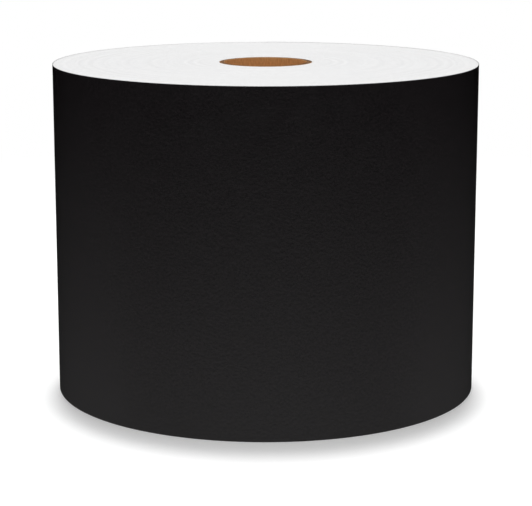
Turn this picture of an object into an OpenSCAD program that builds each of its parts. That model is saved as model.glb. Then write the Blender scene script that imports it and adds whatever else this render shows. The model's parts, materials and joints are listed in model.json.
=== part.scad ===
// Roll of sign vinyl: a web of black film on a paper liner, wound face out on a
// spiral-wound paperboard core. The roll stands on its end. Millimetres, +Z up along
// the roll's axis, origin on the axis at the bottom end.
//
// The outer turn is a spiral made of two half-circle arcs with centres half a pitch
// apart, so it steps out by one web thickness at the seam. The last stretch of web, the
// tail, is in three lengths that bend away from the roll one after another. The end of
// its film peels from the liner, and a tape tab holds the film's edge to the roll.

/* [Web] */
// Width of the web, which is the height of the roll standing on its end
web_width = 101.6; // [50:0.1:305]
// Length of web wound on the core, in metres
web_length_m = 45.72; // [30:0.01:60]
// Thickness of the film with its coat of adhesive
film_thickness = 0.13; // [0.1:0.01:0.2]
// Thickness of the paper liner
liner_thickness = 0.15; // [0.1:0.01:0.2]

/* [Core] */
// Diameter of the bore that a shaft or peg goes through
bore_diameter = 25.4; // [20:0.1:30]
// Thickness of the smooth ply that lines the bore
inner_ply_thickness = 0.25; // [0.2:0.01:0.4]
// Thickness of each of the three board plies
body_ply_thickness = 0.35; // [0.25:0.01:0.6]
// Thickness of the ply that the web is wound on
outer_ply_thickness = 0.25; // [0.2:0.01:0.4]

/* [Starter tape] */
// Length of the starter tape round the core
starter_tape_length = 12; // [8:0.5:20]
// Thickness of the starter tape
starter_tape_thickness = 0.1; // [0.05:0.01:0.15]

/* [Tail] */
// Direction of the tail's edge, seen from above
seam_angle = 90; // [0:5:355]
// Angle round the roll between one bend of the tail and the next
bend_spacing = 16; // [14:0.5:18]
// Angle round the roll from the last bend to the tail's edge
tail_end_angle = 22; // [20:0.5:24]
// Angle round the roll that the peeling end of the film covers
peel_angle = 16.5; // [15:0.5:17]
// Air between the tail and the turn under it
tail_gap = 0.1; // [0.08:0.01:0.15]
// Air between the free end of the film and its liner
peel_gap = 0.08; // [0.06:0.01:0.12]
// Air between two lengths of the tail where they bend
bend_gap = 0.12; // [0.1:0.01:0.2]

/* [Tape tab] */
// Height of the tape tab, along the roll's axis
tab_height = 19; // [12:0.5:25]
// Length of the tab's end that is stuck to the film
tab_stuck_length = 10; // [6:0.5:10]
// Length of the tab's end that reaches past the film's edge
tab_free_length = 12; // [8:0.5:14]
// Length over which the tab steps down from the film to the roll
tab_step_length = 1.5; // [1:0.1:2]
// Thickness of the tape
tab_thickness = 0.15; // [0.1:0.01:0.2]

/* [Hidden] */
$fn = 180;

film_colour = [0.09, 0.085, 0.085];
liner_colour = [0.93, 0.92, 0.89];
web_end_colour = [0.91, 0.91, 0.9];
ply_colour = [0.58, 0.39, 0.24];
board_colour = [0.52, 0.36, 0.23];
starter_tape_colour = [0.85, 0.84, 0.8];
tab_colour = [0.82, 0.72, 0.5];

// The core's radii, from the bore outwards
bore_r = bore_diameter / 2;
body_plies_r = bore_r + inner_ply_thickness;
outer_ply_r = body_plies_r + 3 * body_ply_thickness;
core_r = outer_ply_r + outer_ply_thickness;

// The area of the wound web's end gives the mean outer radius of the roll
pitch = film_thickness + liner_thickness;
roll_r = sqrt(1000 * web_length_m * pitch / PI + core_r * core_r);

// The first half turn after the seam is about the core's axis, and the second about a
// centre half a pitch towards the seam. The pack is all the web inside the outer turn.
pack_r_first = roll_r - 1.5 * pitch;
pack_r_second = pack_r_first + pitch / 2;
second_centre = (pitch / 2) * [cos(seam_angle), sin(seam_angle), 0];
second_start = seam_angle + 180;

// The directions of the three bends and of the line where the film peels
end_bend = seam_angle - tail_end_angle;
middle_bend = end_bend - bend_spacing;
root_bend = middle_bend - bend_spacing;
peel_line = seam_angle - peel_angle;

// The radii of the tail's layers, about the second centre
tail_liner_r = pack_r_second + tail_gap;
tail_film_r = tail_liner_r + liner_thickness;
peel_film_r = tail_film_r + peel_gap;
tab_stuck_r = peel_film_r + film_thickness;
bend_gap_angle = degrees(bend_gap / roll_r);

// The tab's free end lies just clear of the start of the outer turn
tab_free_r = pack_r_first + pitch + tail_gap;

function degrees(radians) = radians * 180 / PI;

function along(angle, r) = [r * cos(angle), r * sin(angle)];

// A curved strip, its full height unless told otherwise, about the given centre
module strip(centre, r, thickness, from, sweep, height = web_width, bottom = 0)
    translate(centre) rotate([0, 0, from]) rotate_extrude(angle = sweep)
        translate([r, bottom]) square([thickness, height]);

// A tube standing on the bottom plane
module tube(inner_r, thickness)
    difference() {
        cylinder(h = web_width, r = inner_r + thickness);
        translate([0, 0, -1]) cylinder(h = web_width + 2, r = inner_r);
    }

// A layer of the outer turn, from the seam round to the first bend
module outer_turn_layer(depth, thickness) {
    strip([0, 0, 0], pack_r_first + depth, thickness, seam_angle, 180);
    strip(second_centre, pack_r_second + depth, thickness, second_start,
        root_bend + 360 - second_start - bend_gap_angle / 2);
}

// A layer of one length of the tail, with half a gap left at each end
module tail_layer(from, to, r, thickness)
    strip(second_centre, r, thickness, from + bend_gap_angle / 2,
        to - from - bend_gap_angle);

module core_inner_ply() color(ply_colour) tube(bore_r, inner_ply_thickness);

module core_body_ply(number)
    color(board_colour)
        tube(body_plies_r + (number - 1) * body_ply_thickness, body_ply_thickness);

module core_body_ply_1() core_body_ply(1);

module core_body_ply_2() core_body_ply(2);

module core_body_ply_3() core_body_ply(3);

module core_outer_ply() color(ply_colour) tube(outer_ply_r, outer_ply_thickness);

module starter_tape_shape() {
    sweep = degrees(starter_tape_length / core_r);
    strip([0, 0, 0], core_r, starter_tape_thickness, seam_angle - sweep / 2, sweep);
}

module starter_tape() color(starter_tape_colour) starter_tape_shape();

// Every turn of film and liner inside the outer turn
module wound_web()
    color(web_end_colour) difference() {
        union() {
            strip([0, 0, 0], 0, pack_r_first, seam_angle, 180);
            strip(second_centre, 0, pack_r_second, second_start, 180);
        }
        translate([0, 0, -1]) cylinder(h = web_width + 2, r = core_r);
        starter_tape_shape();
    }

module outer_turn_liner() color(liner_colour) outer_turn_layer(0, liner_thickness);

module outer_turn_film()
    color(film_colour) outer_turn_layer(liner_thickness, film_thickness);

module tail_liner_root()
    color(liner_colour) tail_layer(root_bend, middle_bend, tail_liner_r, liner_thickness);

module tail_film_root()
    color(film_colour) tail_layer(root_bend, middle_bend, tail_film_r, film_thickness);

module tail_liner_middle()
    color(liner_colour) tail_layer(middle_bend, end_bend, tail_liner_r, liner_thickness);

module tail_film_middle()
    color(film_colour) tail_layer(middle_bend, end_bend, tail_film_r, film_thickness);

module tail_liner_end()
    color(liner_colour) tail_layer(end_bend, seam_angle, tail_liner_r, liner_thickness);

module tail_film_end()
    color(film_colour) tail_layer(end_bend, peel_line, tail_film_r, film_thickness);

// The end of the film, which peels from the liner under it
module film_peel_end()
    color(film_colour) tail_layer(peel_line, seam_angle, peel_film_r, film_thickness);

module tape_tab_stuck_end()
    color(tab_colour) {
        sweep = degrees(tab_stuck_length / roll_r);
        strip(second_centre, tab_stuck_r, tab_thickness, seam_angle - sweep,
            sweep - bend_gap_angle / 2, tab_height, (web_width - tab_height) / 2);
    }

// The tab's other end steps down past the film's edge and lies on the roll
module tape_tab_free_end()
    color(tab_colour) {
        start = seam_angle + bend_gap_angle / 2;
        step = degrees(tab_step_length / roll_r);
        sweep = degrees((tab_free_length - tab_step_length) / roll_r);
        foot = start + step;
        hinge_r = tab_stuck_r + pitch / 2;
        strip([0, 0, 0], tab_free_r, tab_thickness, foot, sweep, tab_height,
            (web_width - tab_height) / 2);
        translate([0, 0, (web_width - tab_height) / 2]) linear_extrude(tab_height)
            polygon([
                along(start, hinge_r), along(foot, tab_free_r),
                along(foot, tab_free_r + tab_thickness), along(start, hinge_r + tab_thickness)
            ]);
    }

core_inner_ply();
core_body_ply_1();
core_body_ply_2();
core_body_ply_3();
core_outer_ply();
starter_tape();
wound_web();
outer_turn_liner();
outer_turn_film();
tail_liner_root();
tail_film_root();
tail_liner_middle();
tail_film_middle();
tail_liner_end();
tail_film_end();
film_peel_end();
tape_tab_stuck_end();
tape_tab_free_end();
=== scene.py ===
"""The looks of a roll of black sign vinyl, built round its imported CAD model.

The web is a strip of black film on a paper liner, wound face out on a paperboard core. It
follows a spiral of two half circles whose centres are half a web thickness apart. A place
along the web is its wind: degrees wound on from the seam, so the outer turn runs from 0 to
360. All lengths are in metres, in the CAD model's frame, and every size and joint comes
from the frame.
"""

import json
import math

import bpy
import numpy as np
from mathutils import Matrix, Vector, noise


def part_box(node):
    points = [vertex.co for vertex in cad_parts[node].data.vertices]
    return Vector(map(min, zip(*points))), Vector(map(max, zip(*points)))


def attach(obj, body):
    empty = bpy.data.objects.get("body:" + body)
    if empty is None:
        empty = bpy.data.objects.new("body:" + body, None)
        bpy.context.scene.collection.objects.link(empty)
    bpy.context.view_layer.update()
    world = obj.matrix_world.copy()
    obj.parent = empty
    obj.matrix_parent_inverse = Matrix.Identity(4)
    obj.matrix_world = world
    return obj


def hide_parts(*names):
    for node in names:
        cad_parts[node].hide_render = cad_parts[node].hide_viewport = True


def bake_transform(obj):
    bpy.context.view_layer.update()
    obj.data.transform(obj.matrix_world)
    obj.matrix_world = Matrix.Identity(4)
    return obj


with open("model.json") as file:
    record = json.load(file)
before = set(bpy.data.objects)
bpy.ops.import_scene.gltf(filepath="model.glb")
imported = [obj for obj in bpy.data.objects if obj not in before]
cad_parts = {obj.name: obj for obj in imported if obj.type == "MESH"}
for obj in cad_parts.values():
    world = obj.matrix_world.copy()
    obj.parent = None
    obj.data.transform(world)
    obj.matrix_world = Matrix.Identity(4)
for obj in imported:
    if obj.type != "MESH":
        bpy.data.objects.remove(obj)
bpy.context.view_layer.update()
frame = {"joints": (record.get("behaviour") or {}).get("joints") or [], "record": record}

MM = 0.001

# The tail's edge and the start of the spiral are in this direction, in degrees from X
SEAM = 90.0
FULL_TURN = 360.0
SEED = 7

# ---------------------------------------------------------------- sizes from the frame

joint_at = {joint["name"]: Vector(joint["pos_m"]) for joint in frame["joints"]}
bore_mount = next(m for m in frame["record"]["mounts"] if m["name"] == "core_bore")

# At the seam the wound web reaches one web thickness further from the axis than it does
# on the other side
web_low, web_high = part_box("wound_web")
HEIGHT = web_high.z
PITCH = web_high.y + web_low.y
PACK_R = -web_low.y
LINER = web_low.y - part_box("outer_turn_liner")[0].y
FILM = PITCH - LINER
ROLL_R = PACK_R + 1.5 * PITCH
BORE_R = bore_mount["dims"]["r_mm"] * MM
CORE_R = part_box("core_outer_ply")[1].x
SECOND_CENTRE = Vector((0, PITCH / 2, 0))


def joint_radius(name):
    """How far a hinge is from the centre of the second half turn."""
    offset = joint_at[name] - SECOND_CENTRE
    return math.hypot(offset.x, offset.y)


def joint_wind(name):
    """Where along the outer turn a hinge is."""
    offset = joint_at[name] - SECOND_CENTRE
    return FULL_TURN + math.degrees(math.atan2(offset.y, offset.x)) - SEAM


# Each hinge is on the outer face of what it bends, so the hinges give the air under the
# tail, the air under the end of its film, and the thickness of the tape tab
TAIL_GAP = joint_radius("tail_lift") - PACK_R - 1.5 * PITCH
PEEL_GAP = joint_radius("film_peel") - joint_radius("tail_lift")
TAB_THICKNESS = joint_radius("tape_tab_lift") - joint_radius("film_peel")

ROOT_BEND = joint_wind("tail_lift")
MIDDLE_BEND = joint_wind("tail_bend_middle")
PEEL_LINE = joint_wind("film_peel")
HALF_SPACING = (MIDDLE_BEND - ROOT_BEND) / 2

# ---------------------------------------------------------------- mesh helpers


def smoothstep(low, high, value):
    """0 below low, 1 above high and a smooth rise between them."""
    share = np.clip((value - low) / (high - low), 0, 1)
    return share * share * (3 - 2 * share)


def web_xy(wind, radius, pitch=PITCH):
    """X and Y of points on the spiral that starts at this radius at the seam."""
    turn, angle = np.divmod(wind, FULL_TURN)
    centre_y = np.where(angle > FULL_TURN / 2, pitch / 2, 0)
    distance = radius + turn * pitch + centre_y
    direction = np.radians(SEAM + angle)
    return distance * np.cos(direction), centre_y + distance * np.sin(direction)


def turn_outwards(mesh):
    """Turns the faces of a closed mesh outwards if its volume says that they face in."""
    mesh.calc_loop_triangles()
    corners = np.zeros(len(mesh.loop_triangles) * 3, int)
    mesh.loop_triangles.foreach_get("vertices", corners)
    places = np.zeros(len(mesh.vertices) * 3)
    mesh.vertices.foreach_get("co", places)
    a, b, c = places.reshape(-1, 3)[corners.reshape(-1, 3)].transpose(1, 0, 2)
    if np.einsum("ij,ij->i", a, np.cross(b, c)).sum() < 0:
        mesh.flip_normals()


def make_piece(name, vertices, faces, face_slots, materials, sharp=35):
    """A smooth-shaded mesh object with its faces outwards and its hard edges sharp."""
    mesh = bpy.data.meshes.new(name)
    mesh.from_pydata([tuple(v) for v in vertices], [], faces)
    for material in materials:
        mesh.materials.append(material)
    mesh.polygons.foreach_set("material_index", face_slots)
    mesh.validate()
    mesh.update()
    turn_outwards(mesh)
    mesh.shade_smooth()
    mesh.set_sharp_from_angle(angle=math.radians(sharp))
    piece = bpy.data.objects.new(name, mesh)
    bpy.context.scene.collection.objects.link(piece)
    return piece


def loft(rings, segment_slots, cap_slot=None):
    """Faces through equal rings of points, with a cap at each end if it's given a slot."""
    count = len(rings[0])
    faces = []
    slots = []
    for ring in range(len(rings) - 1):
        here = ring * count
        there = here + count
        for point in range(count):
            after = (point + 1) % count
            faces.append((here + point, there + point, there + after, here + after))
            slots.append(segment_slots[point])
    vertices = np.concatenate(rings)
    if cap_slot is not None:
        last = len(vertices) - count
        faces.append(tuple(range(count)))
        faces.append(tuple(last + point for point in reversed(range(count))))
        slots += [cap_slot, cap_slot]
    return vertices, faces, slots


# ---------------------------------------------------------------- material helpers

# The span that holds nearly all of a noise's values
NOISE_SPAN = (0.3, 0.7)


def new_node(tree, kind, inputs=None, **settings):
    """A node with its settings. An input is given a value or another node's output."""
    made = tree.nodes.new(kind)
    for key, value in settings.items():
        setattr(made, key, value)
    for key, value in (inputs or {}).items():
        if isinstance(value, bpy.types.NodeSocket):
            tree.links.new(value, made.inputs[key])
        else:
            made.inputs[key].default_value = value
    return made


def new_material(name, roughness, specular):
    """A material with one Principled shader. Returns it, its tree and the shader."""
    material = bpy.data.materials.new(name)
    material.use_nodes = True
    tree = material.node_tree
    shader = tree.nodes["Principled BSDF"]
    shader.inputs["Roughness"].default_value = roughness
    shader.inputs["Specular IOR Level"].default_value = specular
    return material, tree, shader


def connect(tree, shader, colour, roughness=None, normal=None):
    """Links what is given to the shader. The rest keeps its constant value."""
    links = {"Base Color": colour, "Roughness": roughness, "Normal": normal}
    for name, value in links.items():
        if value is not None:
            tree.links.new(value, shader.inputs[name])


def total(tree, first, second):
    """The sum of two values."""
    return new_node(tree, "ShaderNodeMath", {0: first, 1: second}).outputs["Value"]


def product(tree, first, second):
    """The product of two values."""
    made = new_node(tree, "ShaderNodeMath", {0: first, 1: second}, operation="MULTIPLY")
    return made.outputs["Value"]


def average(tree, first, second):
    """Halfway between two values."""
    return product(tree, total(tree, first, second), 0.5)


def scaled(tree, vector, scale):
    """A vector with each of its parts multiplied."""
    made = new_node(tree, "ShaderNodeVectorMath", {0: vector, 1: scale}, operation="MULTIPLY")
    return made.outputs["Vector"]


def length(tree, vector):
    """The length of a vector."""
    return new_node(tree, "ShaderNodeVectorMath", {0: vector}, operation="LENGTH").outputs["Value"]


def grain(tree, size, detail=2.0, stretch=(1, 1, 1)):
    """Noise whose features are about this size in metres, stretched along any axis."""
    where = new_node(tree, "ShaderNodeTexCoord")
    scale = tuple(1 / (size * s) for s in stretch)
    placed = new_node(
        tree, "ShaderNodeMapping", {"Vector": where.outputs["Object"], "Scale": scale}
    )
    made = new_node(
        tree,
        "ShaderNodeTexNoise",
        {"Vector": placed.outputs["Vector"], "Scale": 1.0, "Detail": detail},
    )
    return made.outputs["Fac"]


def ring_noise(tree, size):
    """Noise in rings about the roll's axis, each about this wide in metres."""
    where = new_node(tree, "ShaderNodeTexCoord").outputs["Object"]
    away = length(tree, scaled(tree, where, (1 / size, 1 / size, 0)))
    made = new_node(
        tree,
        "ShaderNodeTexNoise",
        {"W": away, "Scale": 1.0, "Detail": 3.0},
        noise_dimensions="1D",
    )
    return made.outputs["Fac"]


def remap(tree, value, low, high):
    """The usual span of a noise, taken to a span from low to high."""
    start, end = NOISE_SPAN
    inputs = {"Value": value, "From Min": start, "From Max": end, "To Min": low, "To Max": high}
    return new_node(tree, "ShaderNodeMapRange", inputs).outputs["Result"]


def tint(tree, value, low, high):
    """A colour from low to high as a noise goes through its usual span."""
    ramp = new_node(tree, "ShaderNodeValToRGB", {"Fac": value})
    dark, light = ramp.color_ramp.elements
    dark.position, light.position = NOISE_SPAN
    dark.color = (*low, 1)
    light.color = (*high, 1)
    return ramp.outputs["Color"]


def relief(tree, height, depth):
    """A bump of this depth in metres."""
    inputs = {"Height": height, "Distance": depth, "Strength": 1.0}
    return new_node(tree, "ShaderNodeBump", inputs).outputs["Normal"]


# ---------------------------------------------------------------- materials

FILM_ROUGHNESS = 0.22
FILM_SPECULAR = 0.5


def black_film():
    """The face of the film: satin black vinyl with a fine orange peel."""
    material, tree, shader = new_material("black_film", FILM_ROUGHNESS, FILM_SPECULAR)
    connect(
        tree,
        shader,
        tint(tree, grain(tree, 0.7 * MM), (0.0026, 0.0014, 0.0020), (0.0078, 0.0054, 0.0064)),
        remap(tree, grain(tree, 7 * MM, 3), FILM_ROUGHNESS - 0.02, FILM_ROUGHNESS + 0.02),
        relief(tree, grain(tree, 0.8 * MM), 0.025 * MM),
    )
    return material


def film_edge():
    """The slit edge of the film, which takes the pale dust of the liner."""
    material, tree, shader = new_material("film_edge", 0.6, 0.3)
    mottle = average(tree, grain(tree, 0.8 * MM), ring_noise(tree, 0.9 * MM))
    connect(
        tree,
        shader,
        tint(tree, mottle, (0.54, 0.54, 0.54), (0.72, 0.72, 0.72)),
        normal=relief(tree, grain(tree, 0.2 * MM), 0.01 * MM),
    )
    return material


def dark_edge():
    """The slit edge of the outer turn of film, where the black shows."""
    material, tree, shader = new_material("dark_edge", 0.5, 0.25)
    connect(
        tree,
        shader,
        tint(tree, grain(tree, 0.4 * MM), (0.015, 0.014, 0.014), (0.035, 0.034, 0.033)),
    )
    return material


def adhesive():
    """The back of the film: a smooth, glossy coat of adhesive over black."""
    material, tree, shader = new_material("adhesive", 0.2, 0.5)
    connect(
        tree,
        shader,
        tint(tree, grain(tree, 3 * MM, 3), (0.020, 0.020, 0.022), (0.034, 0.034, 0.037)),
        remap(tree, grain(tree, 1.5 * MM, 3), 0.16, 0.3),
        relief(tree, grain(tree, 0.8 * MM, 3), 0.004 * MM),
    )
    return material


def liner_paper():
    """The faces of the liner: white coated paper with a faint cloudy formation."""
    material, tree, shader = new_material("liner_paper", 0.4, 0.4)
    connect(
        tree,
        shader,
        tint(tree, grain(tree, 4 * MM, 4), (0.78, 0.775, 0.74), (0.86, 0.855, 0.83)),
        remap(tree, grain(tree, 2 * MM, 3), 0.34, 0.46),
        relief(tree, grain(tree, 0.4 * MM, 4), 0.005 * MM),
    )
    return material


def liner_edge():
    """The slit edges of the liner, all the turns of which show at the roll's end."""
    material, tree, shader = new_material("liner_edge", 0.85, 0.2)
    mottle = average(tree, grain(tree, 1.0 * MM, 3), ring_noise(tree, 1.6 * MM))
    connect(
        tree,
        shader,
        tint(tree, mottle, (0.73, 0.73, 0.735), (0.87, 0.87, 0.872)),
        normal=relief(tree, grain(tree, 0.15 * MM, 3), 0.012 * MM),
    )
    return material


def kraft_paper_painted_light():
    """Kraft ply: brown paper with fibres and darker flecks. Its colour is lifted well above plain
    kraft as painted light, to offset the shade on the bore's inner wall.
    """
    material, tree, shader = new_material("kraft_paper_painted_light", 0.8, 0.2)
    fibres = grain(tree, 0.35 * MM, 5, (1, 1, 4))
    connect(
        tree,
        shader,
        # Painted light: these browns are lighter than kraft alone, to make up for the shade inside
        # the bore
        tint(tree, fibres, (0.71, 0.358, 0.136), (0.91, 0.535, 0.232)),
        remap(tree, grain(tree, 1.5 * MM, 3), 0.7, 0.9),
        relief(tree, fibres, 0.02 * MM),
    )
    return material


def core_board():
    """The board plies: greyer recycled stock with coarse, pale and dark fibres."""
    material, tree, shader = new_material("core_board", 0.9, 0.15)
    fibres = grain(tree, 0.5 * MM, 6)
    connect(
        tree,
        shader,
        tint(tree, fibres, (0.36, 0.19, 0.09), (0.60, 0.35, 0.19)),
        normal=relief(tree, fibres, 0.04 * MM),
    )
    return material


def board_end_painted_shade():
    """The cut ends of the plies. Cut board is darker than its faces, and this colour is darkened
    further as painted shade, to offset the light that falls on the upturned ends.
    """
    material, tree, shader = new_material("board_end_painted_shade", 0.95, 0.1)
    fibres = grain(tree, 0.25 * MM, 5)
    connect(
        tree,
        shader,
        # Painted shade: these browns are darker than cut board alone, to cancel the light on the
        # ends
        tint(tree, fibres, (0.07, 0.038, 0.018), (0.14, 0.077, 0.037)),
        normal=relief(tree, fibres, 0.03 * MM),
    )
    return material


def starter_paper():
    """The white paper tape that holds the start of the web to the core."""
    material, tree, shader = new_material("starter_paper", 0.7, 0.3)
    connect(
        tree,
        shader,
        tint(tree, grain(tree, 1.2 * MM, 4), (0.66, 0.65, 0.60), (0.76, 0.75, 0.70)),
        normal=relief(tree, grain(tree, 0.3 * MM, 3), 0.008 * MM),
    )
    return material


def crepe_tape():
    """The masking tape of the tab: tan crepe paper, creased across its length."""
    material, tree, shader = new_material("crepe_tape", 0.65, 0.3)
    creases = grain(tree, 0.4 * MM, 4, (1, 1, 5))
    connect(
        tree,
        shader,
        tint(tree, creases, (0.56, 0.41, 0.17), (0.72, 0.56, 0.27)),
        remap(tree, grain(tree, 1 * MM, 3), 0.55, 0.75),
        relief(tree, creases, 0.03 * MM),
    )
    return material


BLACK_FILM = black_film()
FILM_EDGE = film_edge()
DARK_EDGE = dark_edge()
ADHESIVE = adhesive()
LINER_PAPER = liner_paper()
LINER_EDGE = liner_edge()
KRAFT_PAPER_PAINTED_LIGHT = kraft_paper_painted_light()
CORE_BOARD = core_board()
BOARD_END_PAINTED_SHADE = board_end_painted_shade()
STARTER_PAPER = starter_paper()
CREPE_TAPE = crepe_tape()

# ---------------------------------------------------------------- the wound web

WOUND_TURNS = round((PACK_R - CORE_R) / PITCH)
WOUND_PITCH = (PACK_R - CORE_R) / WOUND_TURNS
STEPS_PER_TURN = 120

# The web's end has four points across each turn, at the edges of its liner and its film.
# The film's edge lies a little below the liner's, and the slope between is twice this wide.
LINER_IN, LINER_OUT, FILM_IN, FILM_OUT = range(4)
HALF_SLOPE = 0.015 * MM
FILM_RECESS = 0.004 * MM

# How far the turns lie below the roll's flat end: each by chance, and all in waves, given
# as a depth, the turns to a radian and a shift in radians
CHANCE_DEPTH = 0.004 * MM
DEPTH_WAVES = [(0.02 * MM, 9.0, 0.0), (0.01 * MM, 3.7, 1.0)]

# The starter tape, the degrees over which the web comes down off it, and the turns over
# which its bump fades
tape_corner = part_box("starter_tape")[1]
TAPE_R = tape_corner.y
TAPE_HALF_WIDTH = math.degrees(math.asin(tape_corner.x / TAPE_R))
TAPE_RAMP = 6.0
TAPE_FADE_TURNS = 25.0

LINER_SIDE, FILM_SIDE, OUTSIDE = 0, 1, 2


def starter_bump(wind):
    """How far the starter tape pushes out the turns that lie over it."""
    from_seam = np.abs((wind + FULL_TURN / 2) % FULL_TURN - FULL_TURN / 2)
    over_tape = 1 - smoothstep(TAPE_HALF_WIDTH, TAPE_HALF_WIDTH + TAPE_RAMP, from_seam)
    return (TAPE_R - CORE_R) * over_tape * np.exp(-wind / FULL_TURN / TAPE_FADE_TURNS)


def winding_unevenness(wind):
    """How far each turn's edge lies below the flat end."""
    chance = np.random.default_rng(SEED)
    turns = np.arange(WOUND_TURNS + 2)
    depths = chance.uniform(0, CHANCE_DEPTH, len(turns))
    for depth, period, shift in DEPTH_WAVES:
        depths += depth * (1 + np.sin(turns / period + shift))
    return np.interp(wind / FULL_TURN, turns, depths)


def web_end_sheet():
    """The points of the wound web's end, four to each step along it. Z is how far each
    lies below the flat end."""
    steps = WOUND_TURNS * STEPS_PER_TURN
    wind = np.arange(steps + 1) * FULL_TURN / STEPS_PER_TURN
    start = CORE_R + starter_bump(wind)
    depth = winding_unevenness(wind)
    across = [HALF_SLOPE, LINER - HALF_SLOPE, LINER + HALF_SLOPE, WOUND_PITCH - HALF_SLOPE]
    recess = [0, 0, FILM_RECESS, FILM_RECESS]
    points = np.zeros((steps + 1, len(across), 3))
    for place in (LINER_IN, LINER_OUT, FILM_IN, FILM_OUT):
        x, y = web_xy(wind, start + across[place], WOUND_PITCH)
        points[:, place, 0] = x
        points[:, place, 1] = y
        points[:, place, 2] = depth + recess[place]
    return points


def at(step, place):
    """The number of a point of the web's end: its step along the web, its place across."""
    return step * (FILM_OUT + 1) + place


def web_end_faces(steps):
    """Faces of the web's end: across each turn, and from there to the next turn."""
    faces = []
    slots = []
    for step in range(steps):
        for place in (LINER_IN, LINER_OUT, FILM_IN):
            faces.append((at(step, place), at(step, place + 1), at(step + 1, place + 1),
                          at(step + 1, place)))
            slots.append(FILM_SIDE if place == FILM_IN else LINER_SIDE)
    for step in range(steps - STEPS_PER_TURN):
        ahead = step + STEPS_PER_TURN
        faces.append((at(step, FILM_OUT), at(ahead, LINER_IN), at(ahead + 1, LINER_IN),
                      at(step + 1, FILM_OUT)))
        slots.append(LINER_SIDE)
    return faces, slots


def web_wall_faces(inner, outer, below):
    """Faces of a half's inner wall, its outer wall and the flat between their far rims."""
    faces = []
    slots = []
    for loop, slot in ((inner, LINER_SIDE), (outer[::-1], OUTSIDE)):
        for here, there in zip(loop, loop[1:] + loop[:1], strict=True):
            faces.append((here, there, below[there], below[here]))
            slots.append(slot)
    turn = STEPS_PER_TURN
    low = [below[vertex] for vertex in inner]
    high = [below[vertex] for vertex in outer]
    for step in range(1, turn - 1):
        faces.append((low[step], low[step + 1], high[step + 1], high[step]))
    faces.append((low[0], low[1], high[1], high[0], *low[turn:]))
    faces.append((low[turn - 1], low[turn], high[0], *high[:turn - 2:-1]))
    slots += [LINER_SIDE] * turn
    return faces, slots


def web_half(name, end_z, upwards):
    """One half of the wound web, from its end to the middle of its height."""
    points = web_end_sheet()
    points[:, :, 2] = end_z - upwards * points[:, :, 2]
    steps = len(points) - 1
    faces, slots = web_end_faces(steps)

    inner = [at(step, LINER_IN) for step in range(STEPS_PER_TURN + 1)]
    inner += [at(0, FILM_OUT), at(0, FILM_IN), at(0, LINER_OUT)]
    outer = [at(step, FILM_OUT) for step in range(steps - STEPS_PER_TURN, steps + 1)]
    outer += [at(steps, FILM_IN), at(steps, LINER_OUT), at(steps, LINER_IN)]
    top = points.reshape(-1, 3)
    bottom = top[inner + outer].copy()
    bottom[:, 2] = HEIGHT / 2
    below = {vertex: len(top) + count for count, vertex in enumerate(inner + outer)}
    wall_faces, wall_slots = web_wall_faces(inner, outer, below)

    vertices = np.concatenate([top, bottom])
    materials = [LINER_EDGE, FILM_EDGE, BLACK_FILM]
    piece = make_piece(name, vertices, faces + wall_faces, slots + wall_slots, materials)
    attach(piece, "roll")
    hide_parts("wound_web")


web_half("web_upper_half", HEIGHT, 1)
web_half("web_lower_half", 0.0, -1)

# ---------------------------------------------------------------- strips of film and liner

CORNER = 0.02 * MM
STRIP_ROWS = 12
FACE_OUT, EDGE, FACE_IN = 0, 1, 2

# Degrees of wind: from one row of points to the next, on a strip that keeps its shape and
# on one that bends
FIXED_STEP = 1.0
FINE_STEP = 0.25

# Degrees of wind over which the tail comes off the turn under it, and over which the end
# of the film comes off its liner before and after the line where it peels
TAIL_EASE = 6.0
PEEL_EASE = (1.0, 3.0)


def strip_section(thickness, low, high, rows):
    """A strip's cross-section: shares of its thickness, heights and each side's slot."""
    corner = CORNER / thickness
    heights = np.linspace(low + CORNER, high - CORNER, rows + 1)
    shares = [1.0] * (rows + 1) + [1 - corner, corner] + [0.0] * (rows + 1) + [corner, 1 - corner]
    levels = [*heights, high, high, *reversed(heights), low, low]
    slots = [FACE_OUT] * rows + [EDGE] * 3 + [FACE_IN] * rows + [EDGE] * 3
    return np.array(shares), np.array(levels), slots


def web_strip(name, start, end, step, depth, thickness, materials):
    """A strip of one layer of the outer turn. depth(wind) is how far outside the wound
    web its inner face lies."""
    shares, levels, slots = strip_section(thickness, 0.0, HEIGHT, STRIP_ROWS)
    rings = []
    for wind in np.linspace(start, end, round((end - start) / step) + 1):
        radius = PACK_R + depth(wind) + shares * thickness
        x, y = web_xy(np.full(len(shares), wind), radius)
        rings.append(np.stack([x, y, levels], axis=1))
    vertices, faces, slots = loft(rings, slots, EDGE)
    return make_piece(name, vertices, faces, slots, materials)


def tail_depth(wind):
    """The tail's liner stands off the turn under it from its root on."""
    return TAIL_GAP * smoothstep(ROOT_BEND - TAIL_EASE, ROOT_BEND, wind)


def film_depth(wind):
    """The film lies on the liner, and its end stands a little off it."""
    before, after = PEEL_EASE
    loose = PEEL_GAP * smoothstep(PEEL_LINE - before, PEEL_LINE + after, wind)
    return tail_depth(wind) + LINER + loose


def bend(piece):
    """Bakes a piece's placement into its mesh; the piece is not bent."""
    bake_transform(piece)


# Where the strips are cut, as winds: halfway between bends, just before the film's end
# peels and at the tail's edge
TAIL_CUTS = [ROOT_BEND - HALF_SPACING, ROOT_BEND + HALF_SPACING, MIDDLE_BEND + HALF_SPACING]
FILM_CUT = PEEL_LINE - 0.6
TAIL_EDGE = FULL_TURN - 0.05

# How far each bend reaches before its line and after it
ROOT_REACH = (2.2 * MM, 2.6 * MM)
MIDDLE_REACH = (8.0 * MM, 8.0 * MM)
END_REACH = (5.4 * MM, 5.4 * MM)
PEEL_REACH = (0.6 * MM, 3.2 * MM)

FILM_MATERIALS = [BLACK_FILM, DARK_EDGE, ADHESIVE]
LINER_MATERIALS = [LINER_PAPER, LINER_EDGE, LINER_PAPER]


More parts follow.
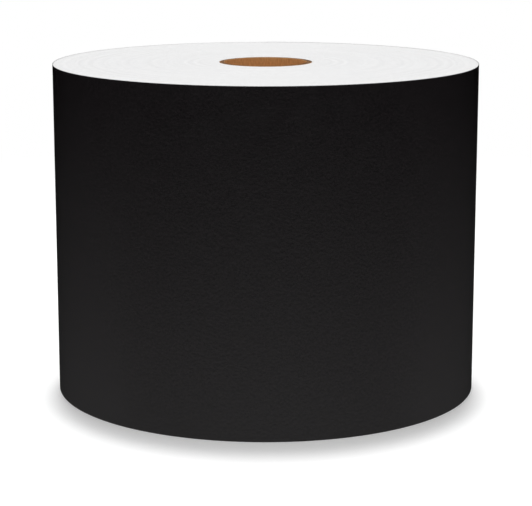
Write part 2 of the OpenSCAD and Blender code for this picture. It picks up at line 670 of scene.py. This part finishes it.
def layer_pieces(rows, ends, depth, thickness, materials):
    """One layer of the outer turn and the tail, cut at these ends into a piece for each
    row. A row with no joint is the part that stays on the roll."""
    for (name, node, joint, reach), span in zip(rows, zip([0, *ends], ends), strict=True):
        step = FINE_STEP if joint else FIXED_STEP
        piece = web_strip(name, *span, step, depth, thickness, materials)
        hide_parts(node)
        if joint:
            bend(piece)
        else:
            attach(piece, "roll")


def film_pieces():
    """The film of the outer turn and the tail."""
    rows = [
        ("film_outer_turn", "outer_turn_film", None, None),
        ("film_tail_root", "tail_film_root", "tail_lift", ROOT_REACH),
        ("film_tail_middle", "tail_film_middle", "tail_bend_middle", MIDDLE_REACH),
        ("film_tail_end", "tail_film_end", "tail_bend_end", END_REACH),
        ("film_peeling_end", "film_peel_end", "film_peel", PEEL_REACH),
    ]
    ends = [*TAIL_CUTS, FILM_CUT, TAIL_EDGE]
    layer_pieces(rows, ends, film_depth, FILM, FILM_MATERIALS)


def liner_pieces():
    """The liner of the outer turn and the tail."""
    rows = [
        ("liner_outer_turn", "outer_turn_liner", None, None),
        ("liner_tail_root", "tail_liner_root", "tail_lift", ROOT_REACH),
        ("liner_tail_middle", "tail_liner_middle", "tail_bend_middle", MIDDLE_REACH),
        ("liner_tail_end", "tail_liner_end", "tail_bend_end", END_REACH),
    ]
    ends = [*TAIL_CUTS, TAIL_EDGE]
    layer_pieces(rows, ends, tail_depth, LINER, LINER_MATERIALS)


film_pieces()
liner_pieces()

# ---------------------------------------------------------------- the tape tab

# The tab steps down from the film over TAB_DROP
TAB_DROP = 1.5 * MM
TAB_STEP = 0.2 * MM
TAB_ROWS = 48
TAB_SHARP = 50

# The creases of the crepe: how much they thicken it, and their size along and across it
CREASE_DEPTH = 0.02 * MM
CREASE_ALONG = 0.5 * MM
CREASE_ACROSS = 3 * MM

# The teeth that a cutter leaves at both ends: their width, their depth, and how far in
# from the ends the rows of points follow them
TOOTH = 1.2 * MM
TOOTH_DEPTH = 0.45 * MM
TOOTH_FADE = 2 * MM


def tab_ring(place, along, shares, levels):
    """Points round the tab's cross-section, at this place from the film's edge."""
    stuck_r = joint_radius("film_peel")
    free_r = PACK_R + PITCH + TAIL_GAP
    down = smoothstep(0, TAB_DROP, place)
    inner = stuck_r + (free_r - stuck_r) * down
    creases = [
        noise.noise(Vector((a / CREASE_ALONG, z / CREASE_ACROSS, 0)))
        for a, z in zip(along, levels, strict=True)
    ]
    radius = inner + shares * (TAB_THICKNESS + CREASE_DEPTH * np.array(creases))
    direction = math.radians(SEAM) + along / inner
    x = radius * np.cos(direction)
    y = PITCH / 2 * (1 - down) + radius * np.sin(direction)
    return np.stack([x, y, levels], axis=1)


def tape_tab():
    """One strip of crepe tape, from the film over its edge and down onto the roll."""
    low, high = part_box("tape_tab_stuck_end")
    stuck = high.x
    free = -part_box("tape_tab_free_end")[0].x
    shares, levels, slots = strip_section(TAB_THICKNESS, low.z, high.z, TAB_ROWS)
    teeth = np.abs((levels / TOOTH) % 1 - 0.5) * 2 * TOOTH_DEPTH
    rings = []
    for place in np.linspace(-stuck, free, round((stuck + free) / TAB_STEP) + 1):
        near_start = 1 - smoothstep(0, TOOTH_FADE, place + stuck)
        near_end = 1 - smoothstep(0, TOOTH_FADE, free - place)
        along = place + teeth * (near_start - near_end)
        rings.append(tab_ring(place, along, shares, levels))
    vertices, faces, slots = loft(rings, slots, EDGE)
    piece = make_piece("tape_tab", vertices, faces, slots, [CREPE_TAPE] * 3, TAB_SHARP)
    bend(piece)
    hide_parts("tape_tab_stuck_end", "tape_tab_free_end")


tape_tab()

# ---------------------------------------------------------------- the core and starter tape

# Each ply is a ribbon wound in a helix. Its seam starts PLY_PHASE degrees on from the last
# ply's, and each of its ends falls short of the roll's by up to PLY_SHORT.
RIBBON_WIDTH = 70 * MM
SEAM_GAP = 0.15 * MM
PLY_PHASE = 137.5
PLY_SHORT = 0.04 * MM
PLY_CHAMFER = 0.04 * MM
PLY_COLUMNS = 90
PLY_ROW_TURN = 4.0
PLY_FACE, PLY_END = 0, 1
STARTER_COLUMNS = 48
PLIES = [
    ("core_inner_ply", "kraft_ply", KRAFT_PAPER_PAINTED_LIGHT),
    ("core_body_ply_1", "core_board", CORE_BOARD),
    ("core_body_ply_2", "core_board", CORE_BOARD),
    ("core_body_ply_3", "core_board", CORE_BOARD),
    ("core_outer_ply", "kraft_ply", KRAFT_PAPER_PAINTED_LIGHT),
]


def ply_end(first, count):
    """Faces across a ply's thickness, between the points of the ring that starts at first."""
    last = first + count - 1
    return [
        (first + column, first + column + 1, last - column - 1, last - column)
        for column in range(PLY_COLUMNS)
    ]


def ply(number, inner_r, outer_r, material):
    """One ply of the core: a ribbon wound in a helix, with a fine gap at its butt seam."""
    girth = 2 * math.pi * inner_r
    lead = RIBBON_WIDTH * girth / math.sqrt(girth**2 - RIBBON_WIDTH**2)
    turned = FULL_TURN * HEIGHT / lead
    gap = math.degrees(SEAM_GAP / inner_r)
    around = np.linspace(gap / 2, FULL_TURN - gap / 2, PLY_COLUMNS + 1)
    chance = np.random.default_rng(SEED + number)
    low, short_high = chance.uniform(0, PLY_SHORT, 2)
    high = HEIGHT - short_high
    levels = np.linspace(low + PLY_CHAMFER, high - PLY_CHAMFER, round(turned / PLY_ROW_TURN))
    levels = np.concatenate([[low], levels, [high]])
    inset = np.zeros(len(levels))
    inset[[0, -1]] = PLY_CHAMFER
    rings = []
    for level, less in zip(levels, inset, strict=True):
        angles = np.radians(around + PLY_PHASE * number + turned * level / HEIGHT)
        loop = [(outer_r - less, a) for a in angles] + [(inner_r + less, a) for a in angles[::-1]]
        rings.append(np.array([(r * math.cos(a), r * math.sin(a), level) for r, a in loop]))
    count = len(rings[0])
    vertices, faces, slots = loft(rings, [PLY_FACE] * count)
    faces += ply_end(0, count)
    faces += [quad[::-1] for quad in ply_end(len(vertices) - count, count)]
    slots += [PLY_END] * (len(faces) - len(slots))
    return make_piece(f"core_ply_{number}", vertices, faces, slots, [material, BOARD_END_PAINTED_SHADE])


def core_pieces():
    """The plies of the core, from the bore outwards."""
    inner_r = BORE_R
    for number, (node, slot, material) in enumerate(PLIES, 1):
        outer_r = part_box(node)[1].x
        piece = ply(number, inner_r, outer_r, material)
        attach(piece, "roll")
        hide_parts(node)
        inner_r = outer_r


def starter_tape_strip():
    """The tape under the start of the web."""
    shares, levels, slots = strip_section(TAPE_R - CORE_R, 0.0, HEIGHT, STRIP_ROWS)
    radius = CORE_R + shares * (TAPE_R - CORE_R)
    rings = []
    for from_seam in np.linspace(-TAPE_HALF_WIDTH, TAPE_HALF_WIDTH, STARTER_COLUMNS + 1):
        direction = math.radians(SEAM + from_seam)
        x = radius * math.cos(direction)
        y = radius * math.sin(direction)
        rings.append(np.stack([x, y, levels], axis=1))
    vertices, faces, slots = loft(rings, slots, EDGE)
    piece = make_piece("starter_tape_strip", vertices, faces, slots, [STARTER_PAPER] * 3)
    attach(piece, "roll")
    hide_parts("starter_tape")


core_pieces()
starter_tape_strip()

# ---------------------------------------------------------------- camera, floor and light

# The camera's distances from the roll's axis and end, how many degrees down it looks, and
# its focal length in millimetres
CAMERA_AWAY = 8.669 * ROLL_R
CAMERA_ABOVE_END = 0.897 * ROLL_R
CAMERA_ASIDE = 0.15 * MM
CAMERA_DOWN = 11.843
CAMERA_LENS = 124.55

# The floor is a disc that fades out between the two distances of FLOOR_FADE
FLOOR_R = 0.52
FLOOR_SIDES = 96
FLOOR_WHITE = (0.95, 0.95, 0.95)
FLOOR_GLOW = 0.12
FLOOR_CLEAR = 0.05 * MM
FLOOR_FADE = (0.2, 0.5)

# The key lights' tilts from straight overhead, and how wide each looks, in degrees
KEY_TILTS = (5.0, 7.0, 9.0, 11.0)
KEY_SPREAD = 5.5
KEY_STRENGTH = 1.75

# The surround's lights. Each has a level, and a share of it by height, from straight down
# to straight up, and by depth, from in front of the roll to behind it.
FILL_LEVEL = 0.9
FILL_BY_HEIGHT = ((0, 0), (0.62, 0), (0.8, 1), (1, 1))
FILL_BY_DEPTH = ((0, 1), (0.5, 0.8), (1, 0.8))
GLOW_LEVEL = 0.3
GLOW_BY_HEIGHT = ((0, 0), (0.49, 0), (0.515, 1), (0.565, 1), (0.645, 0), (1, 0))
GLOW_BY_DEPTH = ((0, 1), (0.5, 0.7), (1, 0.6))
BOUNCE_LEVEL = 1.12
BOUNCE_BY_HEIGHT = ((0, 1), (0.21, 1), (0.45, 0), (1, 0))

# The bounce's share by depth is worked out at these angles of incidence. The evening is a
# power: more than 1 dims the back more than an ideal mirror would need.
BOUNCE_ANGLES = (0, 45, 51, 60, 70, 80, 90)
BOUNCE_EVENING = 1.15

# What a shader mirrors straight on, for a specular level of 1
SPECULAR_TO_GLOSS = 0.08


def camera():
    """The camera, looking down a little at the roll's front."""
    data = bpy.data.cameras.new("camera")
    data.lens = CAMERA_LENS
    made = bpy.data.objects.new("camera", data)
    made.location = (CAMERA_ASIDE, -CAMERA_AWAY, HEIGHT + CAMERA_ABOVE_END)
    made.rotation_euler = (math.radians(90 - CAMERA_DOWN), 0, 0)
    bpy.context.scene.collection.objects.link(made)
    bpy.context.scene.camera = made


def floor_material():
    """Matt white, lit a little from below, that fades out with distance."""
    material = bpy.data.materials.new("floor")
    material.use_nodes = True
    tree = material.node_tree
    tree.nodes.clear()
    matt = new_node(tree, "ShaderNodeBsdfDiffuse", {"Color": (*FLOOR_WHITE, 1)})
    glow = new_node(tree, "ShaderNodeEmission", {"Strength": FLOOR_GLOW})
    white = new_node(
        tree, "ShaderNodeAddShader", {0: matt.outputs["BSDF"], 1: glow.outputs["Emission"]}
    )
    clear = new_node(tree, "ShaderNodeBsdfTransparent")
    where = new_node(tree, "ShaderNodeTexCoord").outputs["Object"]
    near, far = FLOOR_FADE
    inputs = {"Value": length(tree, where), "From Min": near, "From Max": far}
    fade = new_node(tree, "ShaderNodeMapRange", inputs, interpolation_type="SMOOTHSTEP")
    mixed = new_node(
        tree,
        "ShaderNodeMixShader",
        {0: fade.outputs["Result"], 1: white.outputs["Shader"], 2: clear.outputs["BSDF"]},
    )
    new_node(tree, "ShaderNodeOutputMaterial", {"Surface": mixed.outputs["Shader"]})
    return material


def floor():
    """A round floor just under the roll."""
    angles = np.linspace(0, 2 * math.pi, FLOOR_SIDES, endpoint=False)
    rim = [(FLOOR_R * math.cos(a), FLOOR_R * math.sin(a), 0) for a in angles]
    mesh = bpy.data.meshes.new("floor")
    mesh.from_pydata(rim, [], [tuple(range(FLOOR_SIDES))])
    mesh.materials.append(floor_material())
    made = bpy.data.objects.new("floor", mesh)
    made.location.z = -FLOOR_CLEAR
    made.visible_glossy = False
    bpy.context.scene.collection.objects.link(made)


def key_light():
    """A row of soft lights that leans back from overhead, so that the shadow falls forward."""
    for tilt in KEY_TILTS:
        data = bpy.data.lights.new("key", "SUN")
        data.energy = KEY_STRENGTH / len(KEY_TILTS)
        data.angle = math.radians(KEY_SPREAD)
        made = bpy.data.objects.new("key", data)
        made.rotation_euler = (-math.radians(tilt), 0, 0)
        bpy.context.scene.collection.objects.link(made)


def curve(tree, value, stops):
    """A value looked up in a list of (place, level) stops, from 0 to 1."""
    ramp = new_node(tree, "ShaderNodeValToRGB", {"Fac": value})
    elements = ramp.color_ramp.elements
    elements[0].position = stops[0][0]
    elements[1].position = stops[-1][0]
    for place, _ in stops[1:-1]:
        elements.new(place)
    for element, (_, level) in zip(elements, stops, strict=True):
        element.color = (level, level, level, 1)
    return ramp.outputs["Color"]


def part_of(tree, vector, axis):
    """One part of a vector: X, Y or Z."""
    return new_node(tree, "ShaderNodeSeparateXYZ", {"Vector": vector}).outputs[axis]


def from_zero(tree, value):
    """A part of a direction, from -1 to 1, taken to a span from 0 to 1."""
    inputs = {"Value": value, "From Min": -1.0, "From Max": 1.0}
    return new_node(tree, "ShaderNodeMapRange", inputs).outputs["Result"]


def even_bounce():
    """The bounce's share by depth, which makes the film's gloss look even all across it.

    Gloss grows towards the roll's outline, so the bounce fades towards the back. The
    roll's side mirrors what is round it at twice the angle of incidence."""
    straight_on = SPECULAR_TO_GLOSS * FILM_SPECULAR
    base = (1 + math.sqrt(straight_on)) / (1 - math.sqrt(straight_on))
    stops = []
    for angle in BOUNCE_ANGLES:
        near = math.cos(math.radians(angle))
        inside = math.sqrt(1 - (math.sin(math.radians(angle)) / base) ** 2)
        across = ((near - base * inside) / (near + base * inside)) ** 2
        along = ((base * near - inside) / (base * near + inside)) ** 2
        gloss = (across + along) / 2
        place = (1 - math.cos(math.radians(2 * angle))) / 2
        stops.append((place, (straight_on / gloss) ** BOUNCE_EVENING))
    return stops


def surround_level(tree):
    """How bright the surround is in each direction: the fill overhead, the glow round the
    horizon and the bounce below it."""
    direction = new_node(tree, "ShaderNodeTexCoord").outputs["Generated"]
    level = scaled(tree, direction, (1, 1, 0))
    level = new_node(tree, "ShaderNodeVectorMath", {0: level}, operation="NORMALIZE")
    height = from_zero(tree, part_of(tree, direction, "Z"))
    depth = from_zero(tree, part_of(tree, level.outputs["Vector"], "Y"))
    lights = [
        (FILL_LEVEL, FILL_BY_HEIGHT, FILL_BY_DEPTH),
        (GLOW_LEVEL, GLOW_BY_HEIGHT, GLOW_BY_DEPTH),
        (BOUNCE_LEVEL, BOUNCE_BY_HEIGHT, even_bounce()),
    ]
    brightness = 0.0
    for strength, by_height, by_depth in lights:
        share = product(tree, curve(tree, height, by_height), curve(tree, depth, by_depth))
        brightness = total(tree, product(tree, share, strength), brightness)
    return brightness


def surroundings():
    """White behind the roll, and a softer surround that lights it and shows in its gloss."""
    world = bpy.data.worlds.new("surroundings")
    world.use_nodes = True
    tree = world.node_tree
    tree.nodes.clear()
    white = (1, 1, 1, 1)
    seen = new_node(tree, "ShaderNodeBackground", {"Color": white, "Strength": 1.0})
    lit = new_node(
        tree, "ShaderNodeBackground", {"Color": white, "Strength": surround_level(tree)}
    )
    path = new_node(tree, "ShaderNodeLightPath")
    mixed = new_node(
        tree,
        "ShaderNodeMixShader",
        {
            0: path.outputs["Is Camera Ray"],
            1: lit.outputs["Background"],
            2: seen.outputs["Background"],
        },
    )
    new_node(tree, "ShaderNodeOutputWorld", {"Surface": mixed.outputs["Shader"]})
    bpy.context.scene.world = world


camera()
floor()
key_light()
surroundings()
bpy.context.scene.view_settings.view_transform = "Standard"
